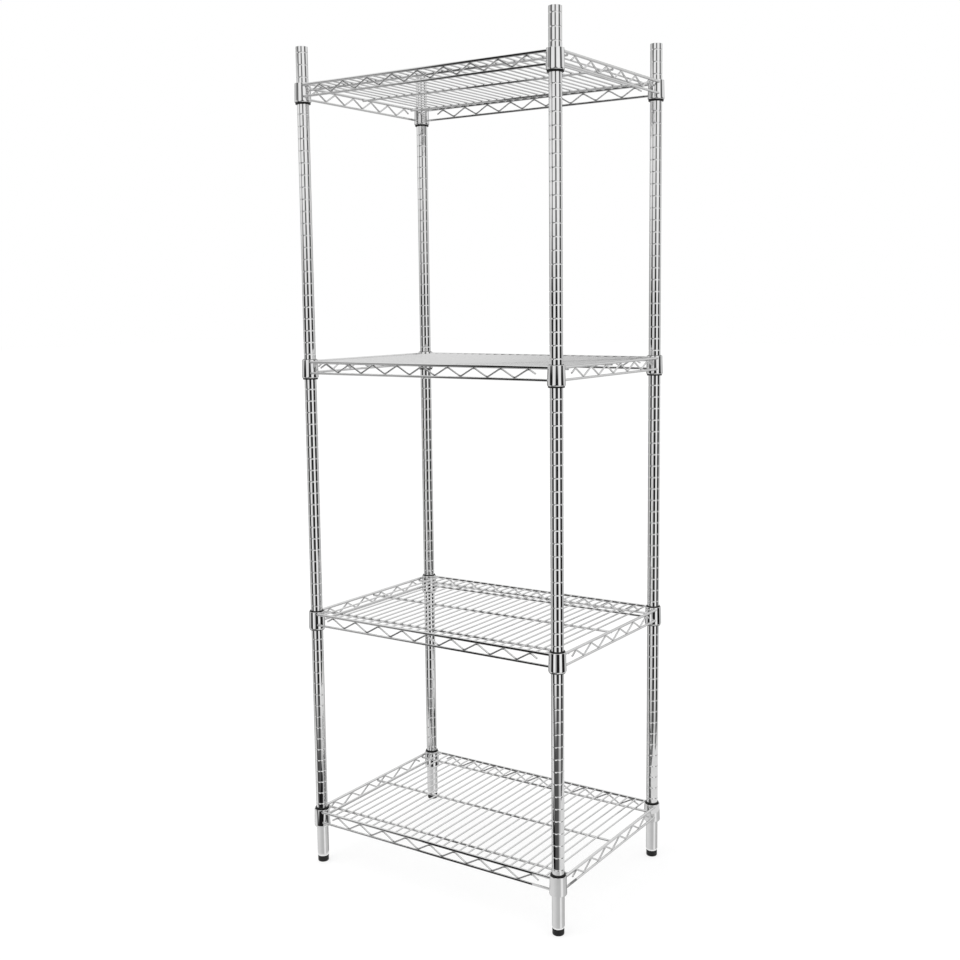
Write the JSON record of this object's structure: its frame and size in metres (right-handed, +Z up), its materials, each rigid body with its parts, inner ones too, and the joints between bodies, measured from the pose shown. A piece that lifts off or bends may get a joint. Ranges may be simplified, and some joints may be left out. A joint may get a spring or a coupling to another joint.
{
  "type": "wire shelving unit",
  "caption": "Free-standing chrome wire shelving unit: open wire shelves with zigzag truss edges hang by tapered collars on grooved tube posts with levelling feet.",
  "frame": {"origin": "on the floor, midway between the four posts", "axes": "+Z up; +X along the long side of the shelves; -Y towards the front"},
  "size_m": [0.6556, 0.4606, 1.803],
  "materials": {
    "post_chrome": "bright chrome plate",
    "cap_chrome": "bright chrome plate",
    "collar_chrome": "bright chrome plate",
    "wire_chrome": "bright chrome plate",
    "insert_plastic": "white nylon",
    "stem_steel": "zinc plate",
    "sleeve_plastic": "satin black",
    "foot_plastic": "satin black"
  },
  "bodies": {
    "posts": {"post_front_left": "post_chrome", "post_front_right": "post_chrome", "post_back_left": "post_chrome", "post_back_right": "post_chrome", "post_caps": "cap_chrome", "thread_inserts": "insert_plastic", "shelf_1_sleeves": "sleeve_plastic", "shelf_2_sleeves": "sleeve_plastic", "shelf_3_sleeves": "sleeve_plastic", "shelf_4_sleeves": "sleeve_plastic"},
    "shelf_1": {"shelf_1_collars": "collar_chrome", "shelf_1_upper_rails": "wire_chrome", "shelf_1_lower_rails": "wire_chrome", "shelf_1_trusses": "wire_chrome", "shelf_1_cross_wires": "wire_chrome", "shelf_1_support_wires": "wire_chrome"},
    "shelf_2": {"shelf_2_collars": "collar_chrome", "shelf_2_upper_rails": "wire_chrome", "shelf_2_lower_rails": "wire_chrome", "shelf_2_trusses": "wire_chrome", "shelf_2_cross_wires": "wire_chrome", "shelf_2_support_wires": "wire_chrome"},
    "shelf_3": {"shelf_3_collars": "collar_chrome", "shelf_3_upper_rails": "wire_chrome", "shelf_3_lower_rails": "wire_chrome", "shelf_3_trusses": "wire_chrome", "shelf_3_cross_wires": "wire_chrome", "shelf_3_support_wires": "wire_chrome"},
    "shelf_4": {"shelf_4_collars": "collar_chrome", "shelf_4_upper_rails": "wire_chrome", "shelf_4_lower_rails": "wire_chrome", "shelf_4_trusses": "wire_chrome", "shelf_4_cross_wires": "wire_chrome", "shelf_4_support_wires": "wire_chrome"},
    "foot_front_left": {"foot_pad_front_left": "foot_plastic", "foot_stem_front_left": "stem_steel"},
    "foot_front_right": {"foot_pad_front_right": "foot_plastic", "foot_stem_front_right": "stem_steel"},
    "foot_back_left": {"foot_pad_back_left": "foot_plastic", "foot_stem_back_left": "stem_steel"},
    "foot_back_right": {"foot_pad_back_right": "foot_plastic", "foot_stem_back_right": "stem_steel"}
  },
  "joints": [
    {"name": "shelf_1_lift", "type": "slide", "parent": "posts", "child": "shelf_1", "axis": [0, 0, 1], "range_m": [0, 0.4157]},
    {"name": "shelf_2_lift", "type": "slide", "parent": "posts", "child": "shelf_2", "axis": [0, 0, 1], "range_m": [0, 0.516]},
    {"name": "shelf_3_lift", "type": "slide", "parent": "posts", "child": "shelf_3", "axis": [0, 0, 1], "range_m": [0, 0.54]},
    {"name": "shelf_4_lift", "type": "slide", "parent": "posts", "child": "shelf_4", "axis": [0, 0, 1], "range_m": [0, 0.108]},
    {"name": "foot_front_left_screw", "type": "slide", "parent": "posts", "child": "foot_front_left", "axis": [0, 0, -1], "range_m": [0, 0.015]},
    {"name": "foot_front_right_screw", "type": "slide", "parent": "posts", "child": "foot_front_right", "axis": [0, 0, -1], "range_m": [0, 0.015]},
    {"name": "foot_back_left_screw", "type": "slide", "parent": "posts", "child": "foot_back_left", "axis": [0, 0, -1], "range_m": [0, 0.015]},
    {"name": "foot_back_right_screw", "type": "slide", "parent": "posts", "child": "foot_back_right", "axis": [0, 0, -1], "range_m": [0, 0.015]}
  ]
}
